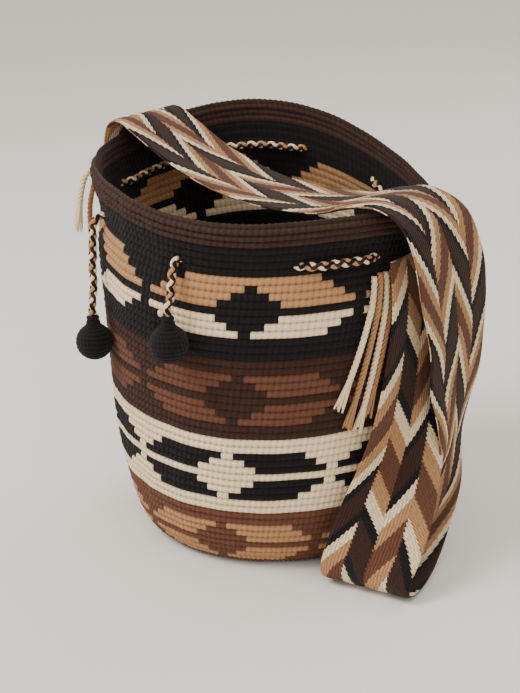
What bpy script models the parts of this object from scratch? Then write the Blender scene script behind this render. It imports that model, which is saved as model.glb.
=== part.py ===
"""Wayuu mochila: a crocheted bucket bag with a braided strap and a drawcord.

Metres, +Z up.  The origin is the centre of the flat underside of the base,
-Y is the side where the two ends of the drawcord hang, and the ends of the
strap are sewn to the wall at +X and -X.
"""
import math

import bmesh
import bpy
from mathutils import Matrix, Vector

WALL = 0.0045               # thickness of the crochet
STEPS = 60                  # sides of the turned body
EYELET_Z = 0.2725           # height of the drawcord's row at the front
EYELET_HALF_WIDTH = 0.0130  # along the round
EYELET_HALF_HEIGHT = 0.0060
EYELET_DEPTH = 0.030        # of its cutter, through the wall
EYELET_SIDES = 16
EYELET_TANGENT = 0.05       # angle to either side that gives the slope of the drawcord's row
EYELETS = (9, 48, 76, 106, 138, 176, 204, 238, 252, 290, 306, 325)

STRAP_WIDTH = 0.080
STRAP_THICKNESS = 0.0035
STRAP_ACROSS = 4            # quads across the ribbon
STRAP_STEP = 0.016          # spacing of its sections

CORD_RADIUS = 0.0034
CORD_CLEAR = 0.0020         # from the cord to the wall
EYELET_RUN = 5.4            # degrees from an eyelet's middle to clear of the wall
SHORT_RUN = 12              # degrees between eyelets under which the cord takes one bow
CORD_DROP = 0.0075          # from the eyelet to where the hanging end has turned down
CORD_LIP = 0.0042           # how far it stands out there
CORD_SAG = 0.0045           # and how much farther lower down
CORD_PLUMB = 0.008          # straight length above the ball's neck
TUBE_ROUNDNESS = 2          # bevel resolution of cords and ropes

BALL_RADIUS = 0.0155
NECK_RADIUS = 0.0050
NECK_HEIGHT = 0.0075
GAP = 0.0003
BALL_SIDES = 24
BALL_RINGS = 12
BALL_CLEAR = 0.0012         # from the ball to the wall
LEFT_BALL = (-30.0, 0.186)   # angle round the bag, height of the centre
RIGHT_BALL = (9.0, 0.211)

FRINGE_RADIUS = 0.0025
FRINGE_STEP = 0.012
FRINGE_ROOT = 0.0048        # from the wall to the middle of a rope at its top
FRINGE_BOW = 1.3            # how late a rope swings from its top angle to its tip angle

# Outer side of the front, rim to base, as radius and height.
OUTLINE = ((0.1475, 0.305), (0.1478, 0.298), (0.1466, 0.290), (0.1425, 0.2705), (0.1448, 0.256),
           (0.1465, 0.240), (0.1462, 0.218), (0.1452, 0.195), (0.1442, 0.165), (0.1430, 0.135),
           (0.1416, 0.105), (0.1390, 0.075), (0.1352, 0.050), (0.1290, 0.026), (0.1195, 0.008),
           (0.1050, 0.0), (0.070, 0.0), (0.035, 0.0), (0.0, 0.0))

# Middle of the strap: x, y, z and the direction of its width, in degrees.
STRAP_ROUTE = (
    (-0.1535, 0.000, 0.285, 90), (-0.1550, 0.000, 0.305, 90), (-0.1545, 0.000, 0.325, 90),
    (-0.1490, 0.000, 0.344, 90), (-0.1360, 0.001, 0.349, 90), (-0.1134, 0.001, 0.338, 90),
    (-0.0743, 0.003, 0.316, 90), (-0.0211, 0.002, 0.300, 90), (0.0352, -0.003, 0.296, 89),
    (0.0858, -0.009, 0.300, 88), (0.1198, -0.010, 0.309, 88), (0.1483, -0.009, 0.312, 87),
    (0.1725, -0.005, 0.298, 84), (0.1819, 0.002, 0.265, 82), (0.1809, 0.011, 0.230, 83),
    (0.1779, 0.021, 0.190, 90), (0.1739, 0.024, 0.155, 92), (0.1680, 0.032, 0.120, 104),
    (0.1620, 0.034, 0.085, 108), (0.1585, 0.014, 0.050, 85), (0.1560, -0.026, 0.024, 54),
    (0.1580, -0.060, 0.0075, 24), (0.1604, -0.0794, 0.0048, 10), (0.1615, -0.0900, 0.0095, 8),
    (0.1614, -0.0885, 0.0200, 12), (0.1622, -0.0735, 0.042, 28), (0.1585, -0.0430, 0.080, 54),
    (0.1580, -0.0240, 0.115, 70), (0.1572, -0.0130, 0.150, 80), (0.1562, -0.0050, 0.185, 86),
    (0.1560, 0.0000, 0.225, 90), (0.1545, 0.0000, 0.268, 90))

# Ropes left over at the two ends of the strap: angle and height of the top, angle
# and height of the tip, and how far the rope stands off the wall.
FRINGES = {
    "right": ((72.4, 0.2560, 58.8, 0.150, 0.007), (74.8, 0.2575, 61.8, 0.132, 0.006),
              (77.2, 0.2570, 65.2, 0.128, 0.007), (79.6, 0.2575, 68.9, 0.139, 0.006),
              (109.0, 0.2420, 112.0, 0.135, 0.006), (112.0, 0.2440, 116.0, 0.130, 0.007)),
    "left": ((290.6, 0.322, 292.0, 0.252, 0.033), (287.8, 0.325, 288.4, 0.224, 0.027),
             (293.4, 0.320, 296.0, 0.258, 0.028), (252.2, 0.322, 254.5, 0.226, 0.021),
             (249.6, 0.325, 251.2, 0.235, 0.024), (247.0, 0.320, 248.0, 0.220, 0.019))}


def rim_rise(angle):
    """How much taller than its front the slumped wall stands, as a share."""
    return (0.033 + 0.0806 * math.cos(angle + math.radians(92))
            + 0.0306 * math.cos(2 * (angle - math.radians(49)))
            + 0.0196 * math.cos(3 * (angle + math.radians(36))))


def outer_radius(angle, height):
    """Radius of the wall's outer side at a height of the slumped bag."""
    level = height / (1 + rim_rise(angle))
    for (r0, z0), (r1, z1) in zip(OUTLINE, OUTLINE[1:]):
        if z1 <= level <= z0:
            return r1 + (r0 - r1) * (level - z1) / (z0 - z1)
    return OUTLINE[0][0]


def around(angle, radius, height):
    """The point at an angle from -Y towards +X."""
    return Vector((radius * math.sin(angle), -radius * math.cos(angle), height))


def smooth_points(route, step):
    """Points a step apart on a Catmull-Rom curve through the route."""
    route = [Vector(point) for point in route]
    ends = [route[0] * 2 - route[1]] + route + [route[-1] * 2 - route[-2]]
    fine = []
    for a, b, c, d in zip(ends, ends[1:], ends[2:], ends[3:]):
        for part in range(24):
            t = part / 24
            fine.append(0.5 * (2 * b + (c - a) * t + (2 * a - 5 * b + 4 * c - d) * t * t
                               + (3 * b - a - 3 * c + d) * t ** 3))
    fine.append(route[-1])
    lengths = [0.0]
    for a, b in zip(fine, fine[1:]):
        lengths.append(lengths[-1] + (Vector(b[:3]) - Vector(a[:3])).length)
    count = max(2, round(lengths[-1] / step))
    points = []
    place = 0
    for number in range(count + 1):
        target = lengths[-1] * number / count
        while place < len(lengths) - 2 and lengths[place + 1] < target:
            place += 1
        span = max(lengths[place + 1] - lengths[place], 1e-9)
        points.append(fine[place].lerp(fine[place + 1], (target - lengths[place]) / span))
    return points


def clear_scene():
    for old in list(bpy.data.objects):
        bpy.data.objects.remove(old, do_unlink=True)


def collection(name):
    group = bpy.data.collections.new(name)
    bpy.context.scene.collection.children.link(group)
    return group


def yarn(name, colour):
    material = bpy.data.materials.new(name)
    material.use_nodes = True
    shader = material.node_tree.nodes["Principled BSDF"]
    shader.inputs["Base Color"].default_value = (*colour, 1.0)
    shader.inputs["Roughness"].default_value = 0.85
    shader.inputs["Metallic"].default_value = 0.0
    return material


def add_object(name, mesh, material, group):
    thing = bpy.data.objects.new(name, mesh)
    group.objects.link(thing)
    mesh.materials.clear()
    mesh.materials.append(material)
    return thing


def baked(name, source, material, group):
    """The evaluated mesh of a modelled object, as an object of its own."""
    graph = bpy.context.evaluated_depsgraph_get()
    mesh = bpy.data.meshes.new_from_object(source.evaluated_get(graph))
    mesh.transform(source.matrix_world)
    bpy.data.objects.remove(source, do_unlink=True)
    shape = bmesh.new()
    shape.from_mesh(mesh)
    bmesh.ops.remove_doubles(shape, verts=shape.verts, dist=0.00002)
    shape.to_mesh(mesh)
    shape.free()
    mesh.name = name
    return add_object(name, mesh, material, group)


def turned(name, outline, steps, material, group):
    """A profile at +X, top to bottom, turned round Z."""
    mesh = bpy.data.meshes.new(name + "_outline")
    points = [(radius, 0.0, height) for radius, height in outline]
    mesh.from_pydata(points, [(i, i + 1) for i in range(len(points) - 1)], [])
    profile = add_object(name + "_outline", mesh, material, group)
    screw = profile.modifiers.new("turn", "SCREW")
    screw.steps = steps
    screw.render_steps = steps
    screw.use_merge_vertices = True
    screw.merge_threshold = 0.00005
    return baked(name, profile, material, group)


def tube(name, points, radius, material, group):
    """A round cord along the points, closed at both ends."""
    curve = bpy.data.curves.new(name, "CURVE")
    curve.dimensions = "3D"
    curve.bevel_depth = radius
    curve.bevel_resolution = TUBE_ROUNDNESS
    curve.use_fill_caps = True
    line = curve.splines.new("POLY")
    line.points.add(len(points) - 1)
    for point, place in zip(line.points, points):
        point.co = (*place[:3], 1.0)
    thing = bpy.data.objects.new(name, curve)
    group.objects.link(thing)
    curve.materials.append(material)
    return thing


def eyelet_cutter(angle, group, material):
    """A flat oval punched through the wall, long along the round."""
    bpy.ops.mesh.primitive_cylinder_add(vertices=EYELET_SIDES, radius=1.0, depth=EYELET_DEPTH)
    cutter = bpy.context.object
    cutter.name = "eyelet_cutter"
    for owner in list(cutter.users_collection):
        owner.objects.unlink(cutter)
    group.objects.link(cutter)
    radial = around(angle, 1.0, 0.0)
    ahead = eyelet_point(angle + EYELET_TANGENT)
    tangent = (ahead - eyelet_point(angle - EYELET_TANGENT)).normalized()
    upward = radial.cross(tangent)
    turn = Matrix((tangent * EYELET_HALF_WIDTH, upward * EYELET_HALF_HEIGHT, radial)).transposed()
    cutter.data.transform(Matrix.Translation(eyelet_point(angle)) @ turn.to_4x4())
    cutter.data.materials.append(material)
    cutter.hide_render = True
    cutter.display_type = "WIRE"
    return cutter


def make_body(group, cutters, material):
    """The crocheted bucket: turned, slumped, then given its wall."""
    body = turned("bag_body", OUTLINE, STEPS, material, group)
    for vertex in body.data.vertices:
        angle = math.atan2(vertex.co.x, -vertex.co.y)
        vertex.co.z *= 1 + rim_rise(angle)
    shell = body.modifiers.new("wall", "SOLIDIFY")
    shell.thickness = WALL
    shell.offset = -1.0
    shell.use_even_offset = True
    for degrees in EYELETS:
        cutter = eyelet_cutter(math.radians(degrees), cutters, material)
        cut = body.modifiers.new("eyelet", "BOOLEAN")
        cut.object = cutter
        cut.operation = "DIFFERENCE"
    body.data.shade_smooth()
    return body


def make_strap(group, material):
    """The braided ribbon: one loop over the mouth and down the right side."""
    sections = smooth_points([(x, y, z, math.radians(turn)) for x, y, z, turn in STRAP_ROUTE], STRAP_STEP)
    vertices = []
    for section in sections:
        middle = Vector(section[:3])
        width = Vector((math.cos(section[3]), math.sin(section[3]), 0.0))
        for column in range(STRAP_ACROSS + 1):
            vertices.append(middle + width * STRAP_WIDTH * (column / STRAP_ACROSS - 0.5))
    row = STRAP_ACROSS + 1
    faces = []
    for i in range(len(sections) - 1):
        for j in range(STRAP_ACROSS):
            corner = i * row + j
            faces.append((corner, corner + 1, corner + row + 1, corner + row))
    mesh = bpy.data.meshes.new("strap")
    mesh.from_pydata(vertices, [], faces)
    strap = add_object("strap", mesh, material, group)
    cloth = strap.modifiers.new("thickness", "SOLIDIFY")
    cloth.thickness = STRAP_THICKNESS
    cloth.offset = 0.0
    strap.data.shade_smooth()
    return strap


def cord_between(first, last, inside):
    """Middle of the cord from one eyelet to the next, on one side of the wall."""
    run = EYELET_RUN
    span = last - first
    inner = [first + run + (span - 2 * run) * part for part in (0.0, 1 / 3, 2 / 3, 1.0)]
    if span - 2 * run < SHORT_RUN:
        inner = [first + run, first + span / 2, last - run]
    points = []
    for degrees in inner:
        angle = math.radians(degrees)
        height = EYELET_Z * (1 + rim_rise(angle))
        radius = outer_radius(angle, height) + CORD_RADIUS + CORD_CLEAR
        if inside:
            radius -= WALL + 2 * CORD_RADIUS + 2 * CORD_CLEAR
        points.append(around(angle, radius, height))
    return points


def eyelet_point(angle):
    """The middle of the wall at the drawcord's row."""
    height = EYELET_Z * (1 + rim_rise(angle))
    return around(angle, outer_radius(angle, height) - WALL / 2, height)


def hanging_end(eyelet, ball):
    """From an eyelet out over the wall and down to a ball's neck."""
    angle = math.radians(eyelet)
    top = EYELET_Z * (1 + rim_rise(angle))
    foot_angle = math.radians(ball[0])
    foot = ball_centre(ball) + Vector((0.0, 0.0, BALL_RADIUS + NECK_HEIGHT + GAP))
    wall = outer_radius(angle, top)
    out = CORD_RADIUS + CORD_CLEAR
    points = [around(angle, wall + CORD_RADIUS, top), around(angle, wall + out + CORD_LIP, top - CORD_DROP)]
    for share in (0.25, 0.50, 0.70):
        height = top + (foot.z - top) * share
        turn = angle + (foot_angle - angle) * share
        stand = out + CORD_SAG * (0.6 + share)
        points.append(around(turn, outer_radius(turn, height) + stand, height))
    points.append(foot + Vector((0.0, 0.0, CORD_PLUMB)))
    points.append(foot)
    return points


def ball_centre(ball):
    """Where a ball hangs: just clear of the wall."""
    angle = math.radians(ball[0])
    return around(angle, outer_radius(angle, ball[1]) + BALL_RADIUS + BALL_CLEAR, ball[1])


def drawcord_route():
    """One cord: right ball, in and out of the eyelets round the bag, left ball."""
    stops = [degrees if degrees >= EYELETS[0] else degrees + 360 for degrees in EYELETS]
    route = list(reversed(hanging_end(EYELETS[0], RIGHT_BALL)))
    inside = True
    for first, last in zip(stops, stops[1:]):
        route.append(eyelet_point(math.radians(first)))
        route.extend(cord_between(first, last, inside))
        inside = not inside
    route.append(eyelet_point(math.radians(stops[-1])))
    route.extend(hanging_end(stops[-1], (LEFT_BALL[0] + 360, LEFT_BALL[1])))
    return route


def make_ball(name, ball, group, material):
    """A stuffed crocheted ball with the neck that closes on the cord."""
    top = BALL_RADIUS + NECK_HEIGHT
    outline = [(0.0, top), (NECK_RADIUS, top), (NECK_RADIUS * 1.04, BALL_RADIUS + 0.002)]
    for ring in range(2, BALL_RINGS + 1):
        angle = math.pi * (ring + 0.4) / (BALL_RINGS + 0.4)
        outline.append((BALL_RADIUS * math.sin(angle), BALL_RADIUS * math.cos(angle)))
    outline[-1] = (0.0, -BALL_RADIUS)
    thing = turned(name, outline, BALL_SIDES, material, group)
    thing.data.transform(Matrix.Translation(ball_centre(ball)))
    thing.data.shade_smooth()
    return thing


def fringe_route(top_angle, top_height, tip_angle, tip_height, stand):
    """A rope of the strap's end: out from the wall, then down beside it."""
    points = []
    for share in (0.0, 0.10, 0.25, 0.50, 0.75, 1.0):
        height = top_height + (tip_height - top_height) * share
        angle = math.radians(top_angle + (tip_angle - top_angle) * share ** FRINGE_BOW)
        off = FRINGE_ROOT + (stand - FRINGE_ROOT) * min(1.0, 3.0 * share)
        points.append(around(angle, outer_radius(angle, height) + off, height))
    return points


clear_scene()
parts = collection("wayuu_mochila_bag")
cutters = collection("cutters")
brown = yarn("cotton_brown", (0.070, 0.033, 0.020))
black = yarn("cotton_black", (0.010, 0.009, 0.009))
cream = yarn("cotton_cream", (0.78, 0.68, 0.53))
tan = yarn("cotton_tan", (0.55, 0.31, 0.15))

make_body(parts, cutters, brown)
make_strap(parts, tan)
tube("drawcord", drawcord_route(), CORD_RADIUS, cream, parts)
make_ball("ball_left", LEFT_BALL, parts, black)
make_ball("ball_right", RIGHT_BALL, parts, black)
for side, ropes in FRINGES.items():
    for number, rope in enumerate(ropes, start=1):
        tone = cream if number % 2 else tan
        name = "fringe_" + side + "_" + str(number)
        tube(name, smooth_points(fringe_route(*rope), FRINGE_STEP), FRINGE_RADIUS, tone, parts)
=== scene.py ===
"""Wayuu mochila: tapestry-crocheted cotton bag, braided strap, drawcord and fringe."""
import math

import bmesh
import bpy
import numpy as np
from mathutils import Matrix, Vector


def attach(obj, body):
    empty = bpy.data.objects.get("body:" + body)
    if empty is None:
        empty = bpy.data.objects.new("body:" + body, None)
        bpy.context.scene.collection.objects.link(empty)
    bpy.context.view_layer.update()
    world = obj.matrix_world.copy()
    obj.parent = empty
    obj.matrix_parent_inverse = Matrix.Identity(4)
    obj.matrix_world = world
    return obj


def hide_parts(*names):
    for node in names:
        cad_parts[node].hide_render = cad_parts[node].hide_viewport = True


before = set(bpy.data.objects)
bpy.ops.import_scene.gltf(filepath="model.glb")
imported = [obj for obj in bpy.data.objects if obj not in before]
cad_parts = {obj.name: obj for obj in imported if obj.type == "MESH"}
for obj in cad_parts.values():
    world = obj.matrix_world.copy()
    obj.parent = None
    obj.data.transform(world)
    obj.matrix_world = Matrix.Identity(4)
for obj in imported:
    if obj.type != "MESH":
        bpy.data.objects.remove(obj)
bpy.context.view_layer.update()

# ---------------------------------------------------------------- dimensions

STITCHES = 180              # in each round of the wall, two for each step of the pattern
WALL_ROUNDS = 48            # from under the rim to the edge of the base
BASE_ROUNDS = 17
RIM_ROUNDS = 3
RELIEF = 0.0022             # depth of the stitches on the wall
BASE_RELIEF = 0.0008
RIM_CHUNK = 1.70            # how much deeper the rim's stitches are
INSIDE_SHARE = 0.8          # of that depth, on the inner side
REPEAT = 36                 # stitches in one repeat of the pattern
PATTERN_TURN = math.radians(31.7)   # where a diamond stands, at round 8.5
BIAS = math.radians(-0.447)         # how far crochet leans with each round
WALL = 0.0045
UNEVEN = 0.00055            # of the wall, by hand work
EYELET_Z = 0.2725
EYELETS = (9, 48, 76, 106, 138, 176, 204, 238, 252, 290, 306, 325)

OUTLINE = ((0.1475, 0.305), (0.1478, 0.298), (0.1466, 0.290), (0.1425, 0.2705), (0.1448, 0.256),
           (0.1465, 0.240), (0.1462, 0.218), (0.1452, 0.195), (0.1442, 0.165), (0.1430, 0.135),
           (0.1416, 0.105), (0.1390, 0.075), (0.1352, 0.050), (0.1290, 0.026), (0.1195, 0.008),
           (0.1050, 0.0), (0.070, 0.0), (0.035, 0.0), (0.0, 0.0))

STRAP_WIDTH = 0.080
STRAP_THICKNESS = 0.0035
STRAP_STEP = 0.0022
STRAP_ROUTE = (
    (-0.1535, 0.000, 0.285, 90), (-0.1550, 0.000, 0.305, 90), (-0.1545, 0.000, 0.325, 90),
    (-0.1490, 0.000, 0.344, 90), (-0.1360, 0.001, 0.349, 90), (-0.1134, 0.001, 0.338, 90),
    (-0.0743, 0.003, 0.316, 90), (-0.0211, 0.002, 0.300, 90), (0.0352, -0.003, 0.296, 89),
    (0.0858, -0.009, 0.300, 88), (0.1198, -0.010, 0.309, 88), (0.1483, -0.009, 0.312, 87),
    (0.1725, -0.005, 0.298, 84), (0.1819, 0.002, 0.265, 82), (0.1809, 0.011, 0.230, 83),
    (0.1779, 0.021, 0.190, 90), (0.1739, 0.024, 0.155, 92), (0.1680, 0.032, 0.120, 104),
    (0.1620, 0.034, 0.085, 108), (0.1585, 0.014, 0.050, 85), (0.1560, -0.026, 0.024, 54),
    (0.1580, -0.060, 0.0075, 24), (0.1604, -0.0794, 0.0048, 10), (0.1615, -0.0900, 0.0095, 8),
    (0.1614, -0.0885, 0.0200, 12), (0.1622, -0.0735, 0.042, 28), (0.1585, -0.0430, 0.080, 54),
    (0.1580, -0.0240, 0.115, 70), (0.1572, -0.0130, 0.150, 80), (0.1562, -0.0050, 0.185, 86),
    (0.1560, 0.0000, 0.225, 90), (0.1545, 0.0000, 0.268, 90))

STRIPE_REPEAT = 0.140       # of the stripes along the strap
SEAM_TOOTH = 0.0016         # how far the yarns of two columns reach into each other
# For each face of the strap: how far a stripe climbs in crossing a column, the middle of the
# dark stripe at each column's low side, and from one floating yarn to the next along the strap.
OUTER_FACE = (0.056, (0.1141, 0.0771, 0.0071, 0.0501), 0.0060)
INNER_FACE = (0.027, (0.0025, 0.1055, 0.0355, 0.0785), 0.0036)
TIGHT, LOOSE = 1.03, 0.933          # braided tighter over the mouth than beside the bag
TIGHT_END, LOOSE_START = 0.55, 0.78

CORD_RADIUS = 0.0034
CORD_BRAID_PITCH = 0.0190   # along the cord for one turn of a strand
STRAND_SHARE = 0.53         # of the cord's radius
CORD_CLEAR = 0.0020
CORD_STEP = 0.0016          # between the rings of a cord
EYELET_RUN = 5.4
BALL_RADIUS = 0.0155
NECK_HEIGHT = 0.0075
GAP = 0.0003
LEFT_BALL = (-30.0, 0.186)
RIGHT_BALL = (9.0, 0.211)

FRINGE_RADIUS = 0.0025
FRINGE_ROOT = 0.0048
FRINGE_PITCH = 0.0125       # along a rope for one turn of a ply
FRINGE_LOOSE = 0.024        # unlaid at the tip
FRINGE_BLEND = 0.004
THREAD_RADIUS = 0.00078
FRINGES = {
    "right": ((72.4, 0.2560, 58.8, 0.150, 0.007), (74.8, 0.2575, 61.8, 0.132, 0.006),
              (77.2, 0.2570, 65.2, 0.128, 0.007), (79.6, 0.2575, 68.9, 0.139, 0.006),
              (109.0, 0.2420, 112.0, 0.135, 0.006), (112.0, 0.2440, 116.0, 0.130, 0.007)),
    "left": ((290.6, 0.322, 292.0, 0.252, 0.033), (287.8, 0.325, 288.4, 0.224, 0.027),
             (293.4, 0.320, 296.0, 0.258, 0.028), (252.2, 0.322, 254.5, 0.226, 0.021),
             (249.6, 0.325, 251.2, 0.235, 0.024), (247.0, 0.320, 248.0, 0.220, 0.019))}

# Each light's name, place, side and power in watts.
LIGHTS = (("key", (-0.9, -1.3, 1.9), 1.1, 46.0), ("fill", (1.6, -1.2, 1.2), 1.6, 12.0),
          ("back", (0.2, 1.7, 1.7), 1.4, 16.0))

BLACK, DARK, BROWN, TAN, CREAM, RIM = range(6)
STRIPES = ((0.0157, DARK), (0.0109, BLACK), (0.0137, CREAM), (0.0162, TAN), (0.0270, BROWN), (0.0162, TAN),
           (0.0137, CREAM), (0.0109, BLACK), (0.0157, DARK))


# ---------------------------------------------------------------- camera

def place_camera():
    """A long lens, 20 degrees down, 40 degrees round from the front."""
    turn = Matrix.Rotation(math.radians(40.0), 3, "Z")
    pitch = math.radians(19.9)
    roll = math.radians(-2.17)
    level = turn @ Vector((1.0, 0.0, 0.0))
    up = turn @ Vector((0.0, math.sin(pitch), math.cos(pitch)))
    ahead = turn @ Vector((0.0, math.cos(pitch), -math.sin(pitch)))
    right = level * math.cos(roll) + up * math.sin(roll)
    top = up * math.cos(roll) - level * math.sin(roll)
    place = turn @ Vector((-0.012, -1.283, 0.62))
    lens = bpy.data.cameras.new("camera")
    lens.sensor_fit = "VERTICAL"
    lens.sensor_height = 36.0
    lens.lens = 80.0
    camera = bpy.data.objects.new("camera", lens)
    bpy.context.scene.collection.objects.link(camera)
    axes = Matrix((right, top, -ahead)).transposed().to_4x4()
    camera.matrix_world = Matrix.Translation(place) @ axes
    bpy.context.scene.camera = camera


place_camera()


# ---------------------------------------------------------------- shape of the bag

def rim_rise(angle):
    """How much taller than its front the slumped wall stands, as a share."""
    return (0.033 + 0.0806 * np.cos(angle + math.radians(92))
            + 0.0306 * np.cos(2 * (angle - math.radians(49)))
            + 0.0196 * np.cos(3 * (angle + math.radians(36))))


def outer_radius(angle, height):
    """Radius of the wall's outer side at a height of the slumped bag."""
    level = height / (1 + rim_rise(angle))
    for (r0, z0), (r1, z1) in zip(OUTLINE, OUTLINE[1:]):
        if z1 <= level <= z0:
            return r1 + (r0 - r1) * (level - z1) / (z0 - z1)
    return OUTLINE[0][0]


def around(angle, radius, height):
    """The point at an angle from -Y towards +X."""
    return Vector((radius * math.sin(angle), -radius * math.cos(angle), height))


def smooth_points(route, step):
    """Points a step apart on a Catmull-Rom curve through the route."""
    route = [Vector(point) for point in route]
    ends = [route[0] * 2 - route[1]] + route + [route[-1] * 2 - route[-2]]
    fine = []
    for a, b, c, d in zip(ends, ends[1:], ends[2:], ends[3:]):
        for part in range(24):
            t = part / 24
            fine.append(0.5 * (2 * b + (c - a) * t + (2 * a - 5 * b + 4 * c - d) * t * t
                               + (3 * b - a - 3 * c + d) * t ** 3))
    fine.append(route[-1])
    fine = np.array([tuple(point) for point in fine])
    gaps = np.linalg.norm(np.diff(fine[:, :3], axis=0), axis=1)
    lengths = np.concatenate(([0.0], np.cumsum(gaps)))
    count = max(2, round(lengths[-1] / step))
    at = np.linspace(0.0, lengths[-1], count + 1)
    return np.stack([np.interp(at, lengths, column) for column in fine.T], axis=1)


def outline_by_round():
    """The outer outline as radius and height at each hundredth of a round.

    Round -3 is the rim's top, 0 its lower edge, 48 the edge of the flat base.
    """
    fine = smooth_points([(r, z, 0.0) for r, z in OUTLINE], 0.0005)
    r, z = fine[:, 0], np.maximum(fine[:, 1], 0.0)
    length = np.concatenate(([0.0], np.cumsum(np.hypot(np.diff(r), np.diff(z)))))
    under_rim = length[np.argmax(z < OUTLINE[2][1])]
    base_edge = length[np.argmax((z < 0.0003) & (r < 0.1065))]
    stops = (0.0, under_rim, base_edge, length[-1])
    rounds = (-RIM_ROUNDS, 0, WALL_ROUNDS, WALL_ROUNDS + BASE_ROUNDS)
    t = np.interp(length, stops, rounds)
    return t, r, z


ROUNDS, ROUND_R, ROUND_Z = outline_by_round()


def uneven(angle, t):
    """How far hand-worked cloth stands in or out of the round shape, none at the base."""
    fade = np.clip((WALL_ROUNDS - t) / 12.0, 0.0, 1.0)
    wave = (np.sin(5 * angle + 0.21 * t) + 0.7 * np.sin(11 * angle - 0.33 * t + 1.0)
            + 0.5 * np.sin(23 * angle + 0.17 * t))
    return UNEVEN * fade * wave


def wall_point(u, t, inside=False, lift=0.0):
    """Places on the wall for stitch u and round t (arrays), lifted off it."""
    angle = PATTERN_TURN + u * (2 * math.pi / STITCHES) + BIAS * (t - 8.5)
    r = np.interp(t, ROUNDS, ROUND_R)
    z = np.interp(t, ROUNDS, ROUND_Z)
    ahead = 0.25
    dr = np.interp(t + ahead, ROUNDS, ROUND_R) - np.interp(t - ahead, ROUNDS, ROUND_R)
    dz = np.interp(t + ahead, ROUNDS, ROUND_Z) - np.interp(t - ahead, ROUNDS, ROUND_Z)
    size = np.maximum(np.hypot(dr, dz), 1e-9)
    out_r, out_z = -dz / size, dr / size
    step = lift - (WALL if inside else 0.0)
    r = np.maximum(r + out_r * step + uneven(angle, t), 0.0)
    z = (z + out_z * step) * (1 + rim_rise(angle))
    return np.stack([r * np.sin(angle), -r * np.cos(angle), z], axis=-1)


# ---------------------------------------------------------------- mesh helpers

def finish_piece(name, verts, faces, materials, face_material=None, uv=None):
    mesh = bpy.data.meshes.new(name)
    mesh.from_pydata([tuple(v) for v in verts], [], [tuple(int(i) for i in f) for f in faces])
    piece = bpy.data.objects.new(name, mesh)
    bpy.context.scene.collection.objects.link(piece)
    for material in materials:
        mesh.materials.append(material)
    if face_material is not None:
        mesh.polygons.foreach_set("material_index", np.asarray(face_material, dtype=np.int32))
    if uv is not None:
        layer = mesh.uv_layers.new(name="stitch")
        layer.data.foreach_set("uv", np.asarray(uv, dtype=np.float32).ravel())
    mesh.shade_smooth()
    mesh.update()
    return piece


def grid_faces(rows, columns, closed):
    """Quads of a grid of rows by columns points, closed round the columns or not."""
    i = np.arange(rows - 1)[:, None]
    j = np.arange(columns if closed else columns - 1)[None, :]
    k = (j + 1) % columns
    corners = (i * columns + j, i * columns + k, (i + 1) * columns + k, (i + 1) * columns + j)
    return np.stack([np.broadcast_to(c, (rows - 1, j.shape[1])) for c in corners], axis=-1).reshape(-1, 4)


def grid_uv(u, v, closed, span):
    """UVs for grid_faces, u and v being the values at the columns and rows."""
    u = np.append(u, span) if closed else u
    low, high = np.meshgrid(v[:-1], u[:-1], indexing="ij"), np.meshgrid(v[1:], u[1:], indexing="ij")
    corners = ((low[1], low[0]), (high[1], low[0]), (high[1], high[0]), (low[1], high[0]))
    return np.stack([np.stack(c, axis=-1) for c in corners], axis=-2).reshape(-1, 2)


def speckle(*values):
    """A steady pseudo-random number from -1 to 1 for whole numbers."""
    total = sum(np.asarray(v, dtype=float) * k for v, k in zip(values, (12.9898, 78.233, 37.719)))
    return 2 * np.mod(np.sin(total) * 43758.5453, 1.0) - 1


# ---------------------------------------------------------------- cords

def ball_centre(ball):
    angle = math.radians(ball[0])
    return around(angle, outer_radius(angle, ball[1]) + BALL_RADIUS + 0.0012, ball[1])


def eyelet_point(angle):
    height = EYELET_Z * (1 + rim_rise(angle))
    return around(angle, outer_radius(angle, height) - WALL / 2, height)


def cord_between(first, last, inside):
    """Middle of the cord from one eyelet to the next, on one side of the wall."""
    run = EYELET_RUN
    span = last - first
    inner = [first + run + (span - 2 * run) * part for part in (0.0, 1 / 3, 2 / 3, 1.0)]
    if span - 2 * run < 12:
        inner = [first + run, first + span / 2, last - run]
    points = []
    for degrees in inner:
        angle = math.radians(degrees)
        height = EYELET_Z * (1 + rim_rise(angle))
        radius = outer_radius(angle, height) + CORD_RADIUS + CORD_CLEAR
        if inside:
            radius -= WALL + 2 * CORD_RADIUS + 2 * CORD_CLEAR
        points.append(around(angle, radius, height))
    return points


def hanging_end(eyelet, ball):
    """From an eyelet out over the wall and down to a ball's neck."""
    angle = math.radians(eyelet)
    top = EYELET_Z * (1 + rim_rise(angle))
    foot_angle = math.radians(ball[0])
    foot = ball_centre(ball) + Vector((0.0, 0.0, BALL_RADIUS + NECK_HEIGHT + GAP))
    wall = outer_radius(angle, top)
    out = CORD_RADIUS + CORD_CLEAR
    points = [around(angle, wall + 0.0035, top), around(angle, wall + out + 0.0042, top - 0.0075)]
    for share in (0.25, 0.50, 0.70):
        height = top + (foot.z - top) * share
        turn = angle + (foot_angle - angle) * share
        points.append(around(turn, outer_radius(turn, height) + out + 0.0045 * (0.6 + share), height))
    points.append(foot + Vector((0.0, 0.0, 0.008)))
    points.append(foot)
    return points


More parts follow.
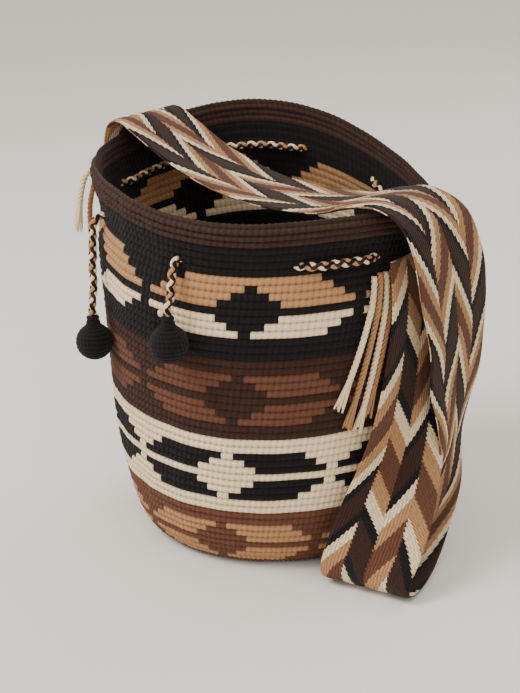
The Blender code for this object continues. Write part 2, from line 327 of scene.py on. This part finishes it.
def drawcord_route():
    """One cord: right ball, in and out of the eyelets round the bag, left ball."""
    stops = [degrees if degrees >= EYELETS[0] else degrees + 360 for degrees in EYELETS]
    route = list(reversed(hanging_end(EYELETS[0], RIGHT_BALL)))
    inside = True
    for first, last in zip(stops, stops[1:]):
        route.append(eyelet_point(math.radians(first)))
        route.extend(cord_between(first, last, inside))
        inside = not inside
    route.append(eyelet_point(math.radians(stops[-1])))
    route.extend(hanging_end(stops[-1], (LEFT_BALL[0] + 360, LEFT_BALL[1])))
    return route


def fringe_route(top_angle, top_height, tip_angle, tip_height, stand):
    """A rope of the strap's end: out from the wall, then down beside it."""
    points = []
    for share in (0.0, 0.10, 0.25, 0.50, 0.75, 1.0):
        height = top_height + (tip_height - top_height) * share
        angle = math.radians(top_angle + (tip_angle - top_angle) * share ** 1.3)
        off = FRINGE_ROOT + (stand - FRINGE_ROOT) * min(1.0, 3.0 * share)
        points.append(around(angle, outer_radius(angle, height) + off, height))
    return points


def carried_frames(points):
    """Two directions across a path at each of its points, turned as little as can be."""
    ahead = np.gradient(points, axis=0)
    ahead /= np.linalg.norm(ahead, axis=1)[:, None]
    side = np.cross(ahead[0], (0.0, 0.0, 1.0))
    if np.linalg.norm(side) < 0.2:
        side = np.cross(ahead[0], (1.0, 0.0, 0.0))
    sides = []
    for direction in ahead:
        side = side - direction * side.dot(direction)
        side /= np.linalg.norm(side)
        sides.append(side)
    sides = np.array(sides)
    return sides, np.cross(ahead, sides)


def path_length(points):
    return float(np.linalg.norm(np.diff(points, axis=0), axis=1).sum())


def strand_mesh(middle, radius, sides):
    """Rings of a round strand along its own middle line, with a centre point kept at each end."""
    across, up = carried_frames(middle)
    turn = np.linspace(0, 2 * math.pi, sides, endpoint=False)
    radius = np.broadcast_to(radius, (len(middle),))[:, None, None]
    ring = np.cos(turn)[None, :, None] * across[:, None, :] + np.sin(turn)[None, :, None] * up[:, None, :]
    verts = (middle[:, None, :] + ring * radius).reshape(-1, 3)
    faces = grid_faces(len(middle), sides, True)
    verts = np.vstack([verts, middle[:1], middle[-1:]])
    return verts, faces[:, ::-1], len(middle)


def joined_strands(name, strands, sides, materials):
    """One mesh of many strands: each is its line, radius and material number."""
    all_verts, all_faces, slots, all_uv = [], [], [], []
    start = 0
    for middle, radius, number in strands:
        verts, faces, rings = strand_mesh(middle, radius, sides)
        first, last = len(verts) - 2, len(verts) - 1
        caps = [(first, j, (j + 1) % sides) for j in range(sides)]
        tail = (rings - 1) * sides
        caps += [(last, tail + (j + 1) % sides, tail + j) for j in range(sides)]
        faces = [tuple(f) for f in faces] + [tuple(c) for c in caps]
        length = np.concatenate(([0.0], np.cumsum(np.linalg.norm(np.diff(middle, axis=0), axis=1))))
        flat = grid_uv(np.arange(sides) / sides, length, True, 1.0).reshape(-1, 4, 2)[:, ::-1].reshape(-1, 2)
        all_uv.append(flat)
        all_uv.append(np.tile((0.5, 0.0), (3 * sides, 1)))
        all_uv.append(np.tile((0.5, length[-1]), (3 * sides, 1)))
        all_faces += [tuple(i + start for i in f) for f in faces]
        all_verts.append(verts)
        slots += [number] * len(faces)
        start += len(verts)
    return finish_piece(name, np.vstack(all_verts), all_faces, materials, slots, np.vstack(all_uv))


def braid_lines(points, radius, pitch, lanes=4):
    """Middle lines of a round braid: half its strands wind each way."""
    across, up = carried_frames(points)
    length = np.concatenate(([0.0], np.cumsum(np.linalg.norm(np.diff(points, axis=0), axis=1))))
    turn = 2 * math.pi * length / pitch
    lines = []
    for lane in range(lanes):
        way = 1 if lane % 2 == 0 else -1
        angle = way * turn + math.pi * (lane // 2) + way * math.pi / 4
        weave = np.cos(2 * angle) * way
        reach = radius * (0.49 + 0.13 * weave)
        lines.append(points + (across * np.cos(angle)[:, None] + up * np.sin(angle)[:, None])
                     * reach[:, None])
    return lines


def make_drawcord(yarns):
    """A four-strand cotton braid, about 7 mm thick."""
    points = smooth_points(drawcord_route(), CORD_STEP)
    lines = braid_lines(points, CORD_RADIUS, CORD_BRAID_PITCH)
    strands = [(line, CORD_RADIUS * STRAND_SHARE, number) for line, number in zip(lines, (0, 1, 2, 3))]
    cord = joined_strands("drawcord_braid", strands, 6, yarns)
    return cord, points


def make_fringe(name, route, yarns):
    """A three-ply cotton rope whose last 24 mm has come unlaid."""
    seed = sum(ord(letter) for letter in name)
    points = smooth_points(fringe_route(*route), CORD_STEP)
    across, up = carried_frames(points)
    count = len(points)
    length = np.linspace(0.0, path_length(points), count)
    laid = length[-1] - FRINGE_LOOSE
    strands = []
    body = length <= laid
    for ply in range(3):
        angle = 2 * math.pi * (length / FRINGE_PITCH + ply / 3)
        off = (across * np.cos(angle)[:, None] + up * np.sin(angle)[:, None]) * FRINGE_RADIUS * 0.56
        strands.append(((points + off)[body], FRINGE_RADIUS * 0.52, 0))
    tail = length > laid - FRINGE_BLEND
    reach = (length[tail] - laid + FRINGE_BLEND) / (length[-1] - laid + FRINGE_BLEND)
    for thread in range(12):
        turn = 2 * math.pi * (thread / 12 + 0.03 * speckle(seed, thread))
        spread = FRINGE_RADIUS * (0.50 + (0.95 + 0.35 * speckle(thread, seed, 3)) * reach)
        curl = turn + 0.8 * speckle(thread, seed) * reach
        off = across[tail] * (np.cos(curl) * spread)[:, None] + up[tail] * (np.sin(curl) * spread)[:, None]
        whole = thread % 3 == 0
        cut = int(tail.sum() * (1.0 if whole else 0.86 + 0.13 * speckle(seed, thread, 9)))
        strands.append(((points[tail] + off)[:cut], THREAD_RADIUS, 0))
    return joined_strands(name, strands, 6, yarns), points


# ---------------------------------------------------------------- yarns

def srgb(code):
    """A hex colour as the linear values that a shader takes."""
    channels = [int(code[i:i + 2], 16) / 255 for i in (1, 3, 5)]
    return tuple(c / 12.92 if c <= 0.04045 else ((c + 0.055) / 1.055) ** 2.4 for c in channels) + (1.0,)


def node(tree, kind, settings=(), **links):
    """Add a node with its settings; links are input names (spaces as _) to sockets or values."""
    made = tree.nodes.new(kind)
    for key, value in dict(settings).items():
        setattr(made, key, value)
    for key, value in links.items():
        numbered = key[0] == "i" and key[1:].isdigit()
        socket = made.inputs[int(key[1:]) if numbered else key.replace("_", " ")]
        if isinstance(value, bpy.types.NodeSocket):
            tree.links.new(value, socket)
        else:
            socket.default_value = value
    return made


def maths(tree, operation, a, b=0.0, c=0.0):
    return node(tree, "ShaderNodeMath", {"operation": operation}, i0=a, i1=b, i2=c).outputs[0]


def new_material(name):
    material = bpy.data.materials.new(name)
    material.use_nodes = True
    tree = material.node_tree
    shader = tree.nodes["Principled BSDF"]
    shader.inputs["Roughness"].default_value = 0.86
    shader.inputs["Specular IOR Level"].default_value = 0.16
    shader.inputs["Sheen Weight"].default_value = 0.05
    shader.inputs["Sheen Roughness"].default_value = 0.5
    shader.inputs["IOR"].default_value = 1.5
    return material, tree, shader


def stitch_uv(tree):
    """The stitch and round numbers of a point, as two sockets."""
    uv = node(tree, "ShaderNodeUVMap", {"uv_map": "stitch"})
    split = node(tree, "ShaderNodeSeparateXYZ", (), Vector=uv.outputs[0])
    return split.outputs[0], split.outputs[1]


def mottled(tree, colour, amount):
    """Dyed cotton is a little lighter and darker from one stitch to the next."""
    place = node(tree, "ShaderNodeTexCoord").outputs["Object"]
    noise = node(tree, "ShaderNodeTexNoise", (), Vector=place, Scale=210.0, Detail=3.0)
    value = maths(tree, "MULTIPLY_ADD", noise.outputs["Fac"], 2 * amount, 1.0 - amount)
    made = node(tree, "ShaderNodeHueSaturation", (), Value=value, Color=colour)
    return made.outputs["Color"], noise.outputs["Fac"]


def crochet_yarn(name, code):
    """Mercerised cotton worked in single crochet: each stitch is two slanting legs of plied yarn."""
    material, tree, shader = new_material(name)
    u, v = stitch_uv(tree)
    colour, fuzz = mottled(tree, srgb(code), 0.13)
    row = maths(tree, "FRACT", v)
    edge = maths(tree, "ABSOLUTE", maths(tree, "SUBTRACT", maths(tree, "MULTIPLY", row, 2.0), 1.0))
    groove = maths(tree, "POWER", edge, 7.0)
    lean = maths(tree, "MULTIPLY_ADD", row, 0.22, u)
    leg = maths(tree, "ABSOLUTE", maths(tree, "SINE", maths(tree, "MULTIPLY", lean, math.pi)))
    gap = maths(tree, "POWER", maths(tree, "SUBTRACT", 1.0, leg), 2.5)
    hole = maths(tree, "MULTIPLY", maths(tree, "POWER", edge, 3.0), gap)
    # painted shade: the base colour is darkened in the grooves between rounds, a little between the legs, and
    # most in the holes between stitches
    shade = maths(tree, "MULTIPLY_ADD", groove, -0.40, 1.0)
    shade = maths(tree, "MULTIPLY", shade, maths(tree, "MULTIPLY_ADD", gap, -0.14, 1.0))
    shade = maths(tree, "MULTIPLY", shade, maths(tree, "MULTIPLY_ADD", hole, -0.70, 1.0))
    dark = node(tree, "ShaderNodeHueSaturation", (), Value=shade, Color=colour)
    tree.links.new(dark.outputs["Color"], shader.inputs["Base Color"])
    slant = maths(tree, "MULTIPLY_ADD", u, 1.2, v)
    twist = maths(tree, "SINE", maths(tree, "MULTIPLY", slant, 2 * math.pi * 4))
    height = maths(tree, "MULTIPLY_ADD", leg, 0.9, maths(tree, "MULTIPLY", twist, 0.14))
    height = maths(tree, "MULTIPLY_ADD", fuzz, 0.35, height)
    bump = node(tree, "ShaderNodeBump", (), Strength=0.75, Distance=0.0007, Height=height)
    tree.links.new(bump.outputs[0], shader.inputs["Normal"])
    return material


def plied_yarn(name, code, across=1.0, pitch=0.0032):
    """Plied cotton: fine slanting ridges of its singles along the strand."""
    material, tree, shader = new_material(name)
    u, v = stitch_uv(tree)
    colour, fuzz = mottled(tree, srgb(code), 0.12)
    phase = maths(tree, "MULTIPLY_ADD", v, 1.0 / pitch, maths(tree, "MULTIPLY", u, across))
    ridge = maths(tree, "ABSOLUTE", maths(tree, "SINE", maths(tree, "MULTIPLY", phase, math.pi)))
    groove = maths(tree, "POWER", maths(tree, "SUBTRACT", 1.0, ridge), 3.0)
    # painted shade: the base colour is darkened in the grooves between the ridges of the singles
    shade = maths(tree, "MULTIPLY_ADD", groove, -0.35, 1.0)
    dark = node(tree, "ShaderNodeHueSaturation", (), Value=shade, Color=colour)
    tree.links.new(dark.outputs["Color"], shader.inputs["Base Color"])
    height = maths(tree, "MULTIPLY_ADD", fuzz, 0.3, ridge)
    bump = node(tree, "ShaderNodeBump", (), Strength=0.7, Distance=0.0004, Height=height)
    tree.links.new(bump.outputs[0], shader.inputs["Normal"])
    return material


YARN_CODES = {BLACK: "#151112", DARK: "#37221a", BROWN: "#643f2f", TAN: "#b1845b", CREAM: "#efd6b0",
              RIM: "#3b2821"}


def crochet_yarns():
    names = {BLACK: "cotton_black", DARK: "cotton_dark_brown", BROWN: "cotton_brown", TAN: "cotton_tan",
             CREAM: "cotton_cream", RIM: "cotton_rim_brown"}
    return [crochet_yarn(names[key] + "_crocheted", YARN_CODES[key]) for key in sorted(names)]


def strap_cotton(name, rise, starts, pitch):
    """Oblique finger braid: in each of four columns the yarns float side by side along a slanting stripe."""
    material, tree, shader = new_material(name)
    u, v = stitch_uv(tree)
    tooth = maths(tree, "FRACT", maths(tree, "MULTIPLY", v, 1.0 / pitch))
    u = maths(tree, "MULTIPLY_ADD", tooth, SEAM_TOOTH, maths(tree, "SUBTRACT", u, SEAM_TOOTH / 2))
    place = maths(tree, "MULTIPLY", u, 4.0 / STRAP_WIDTH)
    climb = maths(tree, "PINGPONG", place, 1.0)
    run = maths(tree, "MULTIPLY_ADD", climb, -rise, v)
    shift = starts[0]
    for seam in (1, 2, 3):
        past = maths(tree, "GREATER_THAN", place, float(seam))
        shift = maths(tree, "MULTIPLY_ADD", past, starts[seam] - starts[seam - 1], shift)
    stripe = maths(tree, "MULTIPLY", maths(tree, "SUBTRACT", run, shift), 1.0 / STRIPE_REPEAT)
    ramp = node(tree, "ShaderNodeValToRGB", (), Fac=maths(tree, "FRACT", stripe))
    bands = ramp.color_ramp
    bands.interpolation = "CONSTANT"
    start = 0.0
    for number, (width, key) in enumerate(STRIPES):
        stop = bands.elements[number] if number < 2 else bands.elements.new(start)
        stop.position = start
        stop.color = srgb(YARN_CODES[key])
        start += width / STRIPE_REPEAT
    colour, fuzz = mottled(tree, ramp.outputs[0], 0.12)
    count = maths(tree, "MULTIPLY", run, 1.0 / pitch)
    ridge = maths(tree, "ABSOLUTE", maths(tree, "SINE", maths(tree, "MULTIPLY", count, math.pi)))
    climb = maths(tree, "MULTIPLY", place, 2.0)
    stagger = maths(tree, "MULTIPLY_ADD", maths(tree, "FLOOR", count), 0.38, climb)
    dive = maths(tree, "ABSOLUTE", maths(tree, "SINE", maths(tree, "MULTIPLY", stagger, math.pi)))
    valley = maths(tree, "POWER", maths(tree, "SUBTRACT", 1.0, ridge), 2.5)
    notch = maths(tree, "POWER", maths(tree, "SUBTRACT", 1.0, dive), 5.0)
    # painted shade: the base colour is darkened in the valleys between floating yarns and at the notches
    # where they dive under
    shade = maths(tree, "MULTIPLY_ADD", valley, -0.42, 1.0)
    shade = maths(tree, "MULTIPLY", shade, maths(tree, "MULTIPLY_ADD", notch, -0.30, 1.0))
    dark = node(tree, "ShaderNodeHueSaturation", (), Value=shade, Color=colour)
    tree.links.new(dark.outputs["Color"], shader.inputs["Base Color"])
    height = maths(tree, "MULTIPLY_ADD", dive, 0.45, ridge)
    height = maths(tree, "MULTIPLY_ADD", fuzz, 0.3, height)
    bump = node(tree, "ShaderNodeBump", (), Strength=0.9, Distance=0.0010, Height=height)
    tree.links.new(bump.outputs[0], shader.inputs["Normal"])
    return material


# ---------------------------------------------------------------- crochet

def diamond_gap(t):
    """Background, bar colour and diamond gap of a round of the wall, gap None where it is plain."""
    bands = ((0, BLACK, ((4, TAN, -1), (5, TAN, 1), (6, TAN, 3), (7, TAN, 5),
                         (9, CREAM, 5), (10, CREAM, 3), (11, CREAM, 1))),
             (15, DARK, None), (26, CREAM, None), (37, BROWN, None))
    bars = {15: BROWN, 26: BLACK, 37: TAN}
    start, ground, rows = [band for band in bands if band[0] <= t][-1]
    if rows is not None:
        for row, colour, gap in rows:
            if row == t:
                return ground, colour, gap
        return ground, ground, None
    step = t - start
    if step in (2, 3, 4):
        return ground, bars[start], (1, 3, 5)[step - 2]
    if step in (6, 7, 8):
        return ground, bars[start], (5, 3, 1)[step - 6]
    return ground, ground, None


def stitch_colour(t):
    """The yarn of each stitch of round t: bars twelve stitches long, one step on each round."""
    if t < 0:
        return np.full(STITCHES, RIM)
    if t >= WALL_ROUNDS:
        return np.full(STITCHES, BROWN)
    ground, bar, gap = diamond_gap(t)
    colours = np.full(STITCHES, ground)
    if gap is not None:
        place = np.abs((np.arange(STITCHES) + REPEAT // 2) % REPEAT - REPEAT // 2 + 0.5)
        colours[(place > gap) & (place < gap + 12)] = bar
    return colours


def stitch_relief(u, t, depth):
    """Height of the crochet's surface: a ridge for each round, a dimple between stitches."""
    row = np.mod(t, 1.0)
    ridge = np.sin(math.pi * row) ** 0.7
    dimple = np.abs(np.sin(math.pi * u)) ** 0.6
    grain = speckle(np.floor(u), np.floor(t))
    chunky = np.where(t < 0.0, RIM_CHUNK, 1.0)
    return depth * chunky * (0.50 * ridge + 0.42 * dimple * ridge + 0.16 * grain * ridge - 0.45)


def crochet_sheet(name, first, last, yarns, inside=False, across=3, along=4, depth=RELIEF):
    """The rounds of the wall from first to last, as a relief with one colour to a stitch."""
    u = np.arange(STITCHES * across) / across
    t = np.linspace(first, last, (last - first) * along + 1)
    grid_u, grid_t = np.meshgrid(u, t)
    lean = 0.22 * (np.mod(grid_t, 1.0) - 0.5) * (np.abs(np.mod(grid_t, 1.0)) > 1e-6)
    lift = stitch_relief(grid_u, grid_t, depth)
    if inside:
        lift = -stitch_relief(grid_u, grid_t, depth * INSIDE_SHARE) - depth * 0.2
    verts = wall_point(grid_u + lean, grid_t, inside, lift).reshape(-1, 3)
    faces = grid_faces(len(t), len(u), True)
    colours = np.stack([stitch_colour(int(math.floor(row + 1e-6))) for row in t[:-1]])
    slots = np.repeat(colours, across, axis=1).ravel()
    uv = grid_uv(u, t, True, float(STITCHES))
    if not inside:
        faces = faces[:, ::-1]
        uv = uv.reshape(-1, 4, 2)[:, ::-1].reshape(-1, 2)
    return finish_piece(name, verts, faces, yarns, slots, uv)


def rim_lip(yarns):
    """The rounded edge over the top of the rim, from its outer to its inner side."""
    across, along = 3, 8
    u = np.arange(STITCHES * across) / across
    turn = np.linspace(0.0, 1.0, along + 1)
    grid_u, grid_s = np.meshgrid(u, turn)
    edge = np.full_like(grid_u, -RIM_ROUNDS)
    outer = wall_point(grid_u, edge, False, -0.45 * RELIEF * RIM_CHUNK)
    inner = wall_point(grid_u, edge, True, RELIEF * (INSIDE_SHARE * 0.45 * RIM_CHUNK - 0.2))
    share = (1 - np.cos(math.pi * grid_s)) / 2
    bump = 0.0028 + 0.0016 * np.abs(np.sin(math.pi * (grid_u + 0.35 * grid_s))) ** 0.6
    verts = outer + (inner - outer) * share[..., None]
    verts[..., 2] += np.sin(math.pi * grid_s) * bump
    faces = grid_faces(len(turn), len(u), True)
    uv = grid_uv(u, turn * 1.0, True, float(STITCHES))
    slots = np.full(len(faces), RIM)
    return finish_piece("rim_lip", verts.reshape(-1, 3), faces, yarns, slots, uv)


# ---------------------------------------------------------------- strap

def make_strap(outer, inner):
    """The braided band as a closed ribbon, thin at its two selvedges."""
    sections = smooth_points([(x, y, z, math.radians(turn)) for x, y, z, turn in STRAP_ROUTE], STRAP_STEP)
    middle = sections[:, :3]
    ahead = np.gradient(middle, axis=0)
    ahead /= np.linalg.norm(ahead, axis=1)[:, None]
    width = np.stack([np.cos(sections[:, 3]), np.sin(sections[:, 3]), np.zeros(len(sections))], axis=1)
    face = np.cross(ahead, width)
    face /= np.linalg.norm(face, axis=1)[:, None]
    length = np.concatenate(([0.0], np.cumsum(np.linalg.norm(np.diff(middle, axis=0), axis=1))))
    across = 32
    loop = []
    for number in range(across + 1):
        loop.append((number / across, 1.0))
    for number in range(across, -1, -1):
        loop.append((number / across, -1.0))
    share = np.array([item[0] for item in loop])
    side = np.array([item[1] for item in loop])
    columns = np.abs(np.mod(share * 4, 1.0) - 0.5) * 2
    edge = np.minimum(share, 1 - share) * STRAP_WIDTH
    round_edge = np.clip(edge / 0.0018, 0.0, 1.0) ** 0.5
    swell = STRAP_THICKNESS / 2 * (0.35 + 0.65 * round_edge) * (1.06 - 0.34 * columns ** 4)
    reach = (share - 0.5) * STRAP_WIDTH
    ripple = 1.0 + 0.10 * np.sin(2 * math.pi * length[:, None] / 0.0056 + 3.0 * share[None, :])
    verts = (middle[:, None, :] + width[:, None, :] * reach[None, :, None]
             + face[:, None, :] * (side * swell)[None, :, None] * ripple[..., None])
    rows, around_loop = verts.shape[:2]
    span = float(length[-1])
    tightness = np.interp(length, (TIGHT_END, LOOSE_START), (TIGHT, LOOSE))
    steps = np.diff(length) * (tightness[1:] + tightness[:-1]) / 2
    length = np.concatenate(([0.0], np.cumsum(steps)))
    faces_up = np.arange(around_loop) < across
    slots = np.tile(np.where(faces_up, 0, 1), rows - 1).tolist() + [0] * (2 * across)
    faces = [tuple(f) for f in grid_faces(rows, around_loop, True)]
    uv = []
    closed = np.append(share, share[0]) * STRAP_WIDTH
    for i in range(rows - 1):
        for j in range(around_loop):
            a, b = closed[j], closed[j + 1]
            uv += [(a, length[i]), (b, length[i]), (b, length[i + 1]), (a, length[i + 1])]
    for row in (0, rows - 1):
        for j in range(across):
            quad = [row * around_loop + j, row * around_loop + j + 1,
                    row * around_loop + around_loop - 2 - j, row * around_loop + around_loop - 1 - j]
            ends = [(share[j] * STRAP_WIDTH, length[row]), (share[j + 1] * STRAP_WIDTH, length[row])]
            ends += [ends[1], ends[0]]
            if row == 0:
                quad.reverse()
                ends.reverse()
            faces.append(tuple(quad))
            uv += ends
    strap = finish_piece("strap_braid", verts.reshape(-1, 3), faces, [outer, inner], slots, uv)
    recalculate(strap)
    return strap, span


def recalculate(piece):
    shape = bmesh.new()
    shape.from_mesh(piece.data)
    bmesh.ops.recalc_face_normals(shape, faces=shape.faces)
    shape.to_mesh(piece.data)
    shape.free()


# ---------------------------------------------------------------- balls

def make_ball(name, ball, yarn):
    """A stuffed crocheted ball: rounds of stitches from the neck down."""
    rounds, stitches, along, across = 15, 26, 5, 4
    top = BALL_RADIUS + NECK_HEIGHT
    outline = [(0.0006, top - 0.0004), (0.0040, top), (0.0050, top - 0.0012), (0.0052, top - 0.0045)]
    outline += [(BALL_RADIUS * math.sin(math.pi * k / 20), BALL_RADIUS * math.cos(math.pi * k / 20))
                for k in range(3, 20)]
    outline.append((0.0003, -BALL_RADIUS))
    fine = smooth_points([(r, z, 0.0) for r, z in outline], 0.0002)
    at = np.linspace(0, len(fine) - 1, rounds * along + 1)
    r = np.interp(at, np.arange(len(fine)), fine[:, 0])
    z = np.interp(at, np.arange(len(fine)), fine[:, 1])
    u = np.arange(stitches * across) / across
    t = np.linspace(0, rounds, rounds * along + 1)
    grid_u, grid_t = np.meshgrid(u, t)
    angle = 2 * math.pi * grid_u / stitches + 0.06 * grid_t
    relief = 0.0009 * (np.abs(np.sin(math.pi * grid_t)) ** 0.8 - 0.7)
    relief = relief + 0.00022 * np.abs(np.sin(math.pi * (grid_u + 0.4 * grid_t)))
    fade = np.clip(np.minimum(grid_t, rounds - grid_t) / 1.0, 0.0, 1.0)
    reach = np.maximum(r[:, None] + relief * fade, 0.0002)
    centre = ball_centre(ball)
    verts = np.stack([reach * np.cos(angle), reach * np.sin(angle), np.broadcast_to(z[:, None], reach.shape)],
                     axis=-1) + np.array(centre)
    rows, columns = reach.shape
    faces = [tuple(f) for f in grid_faces(rows, columns, True)[:, ::-1]]
    uv = grid_uv(u, t, True, float(stitches)).reshape(-1, 4, 2)[:, ::-1].reshape(-1, 2)
    flat = verts.reshape(-1, 3)
    flat = np.vstack([flat, [centre + Vector((0, 0, outline[0][1]))], [centre - Vector((0, 0, BALL_RADIUS))]])
    last = (rows - 1) * columns
    caps = [(rows * columns, j, (j + 1) % columns) for j in range(columns)]
    caps += [(rows * columns + 1, last + (j + 1) % columns, last + j) for j in range(columns)]
    uv = np.vstack([uv, np.tile((0.5, 0.5), (6 * columns, 1))])
    piece = finish_piece(name, flat, faces + caps, [yarn], None, uv)
    recalculate(piece)
    return piece


# ---------------------------------------------------------------- studio

def studio():
    floor_material, tree, shader = new_material("studio_paper_matte")
    shader.inputs["Base Color"].default_value = srgb("#e6e3dc")
    shader.inputs["Sheen Weight"].default_value = 0.0
    bpy.ops.mesh.primitive_plane_add(size=14.0, location=(0.0, 0.0, 0.0))
    floor = bpy.context.object
    floor.name = "studio_floor"
    floor.data.materials.append(floor_material)
    world = bpy.data.worlds.new("studio_light")
    bpy.context.scene.world = world
    world.use_nodes = True
    world.node_tree.nodes["Background"].inputs[0].default_value = srgb("#fbf5ec")
    world.node_tree.nodes["Background"].inputs[1].default_value = 1.0
    for name, place, size, power in LIGHTS:
        light = bpy.data.lights.new(name, "AREA")
        light.size = size
        light.energy = power
        lamp = bpy.data.objects.new(name, light)
        bpy.context.scene.collection.objects.link(lamp)
        lamp.location = place
        aim = Vector((0.0, 0.0, 0.15)) - Vector(place)
        lamp.rotation_euler = aim.to_track_quat("-Z", "Y").to_euler()


# ---------------------------------------------------------------- the object

cord_yarns = [plied_yarn("cotton_cream_braided", YARN_CODES[CREAM]),
              plied_yarn("cotton_black_braided", YARN_CODES[BLACK]),
              plied_yarn("cotton_tan_braided", YARN_CODES[TAN]),
              plied_yarn("cotton_dark_brown_braided", YARN_CODES[DARK])]
drawcord, cord_path = make_drawcord(cord_yarns)
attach(drawcord, "root")
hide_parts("drawcord")

rope_cream = plied_yarn("cotton_cream_rope_laid", YARN_CODES[CREAM], 1.0, 0.0016)
rope_tan = plied_yarn("cotton_tan_rope_laid", YARN_CODES[TAN], 1.0, 0.0016)
for side, ropes in FRINGES.items():
    for number, route in enumerate(ropes, start=1):
        node_name = "fringe_" + side + "_" + str(number)
        cream = number % 2 == 1
        rope, rope_path = make_fringe(node_name + "_rope", route, [rope_cream if cream else rope_tan])
        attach(rope, "root")
        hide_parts(node_name)

yarns = crochet_yarns()
for name, ball in (("ball_left", LEFT_BALL), ("ball_right", RIGHT_BALL)):
    piece = make_ball(name + "_crochet", ball, yarns[BLACK])
    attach(piece, "root")
    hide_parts(name)

wall_pieces = [crochet_sheet("wall_upper", -RIM_ROUNDS, 22, yarns),
               crochet_sheet("wall_lower", 22, WALL_ROUNDS, yarns),
               crochet_sheet("wall_inside", -RIM_ROUNDS, WALL_ROUNDS, yarns, inside=True, across=2, along=3),
               crochet_sheet("base_under", WALL_ROUNDS, WALL_ROUNDS + BASE_ROUNDS, yarns, across=2, along=3,
                             depth=BASE_RELIEF),
               crochet_sheet("base_inside", WALL_ROUNDS, WALL_ROUNDS + BASE_ROUNDS, yarns, inside=True,
                             across=2, along=3, depth=BASE_RELIEF),
               rim_lip(yarns)]
for piece in wall_pieces:
    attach(piece, "root")
    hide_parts("bag_body")

strap, strap_length = make_strap(strap_cotton("cotton_strap_outer_braided", *OUTER_FACE),
                                 strap_cotton("cotton_strap_inner_braided", *INNER_FACE))
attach(strap, "root")
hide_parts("strap")

studio()
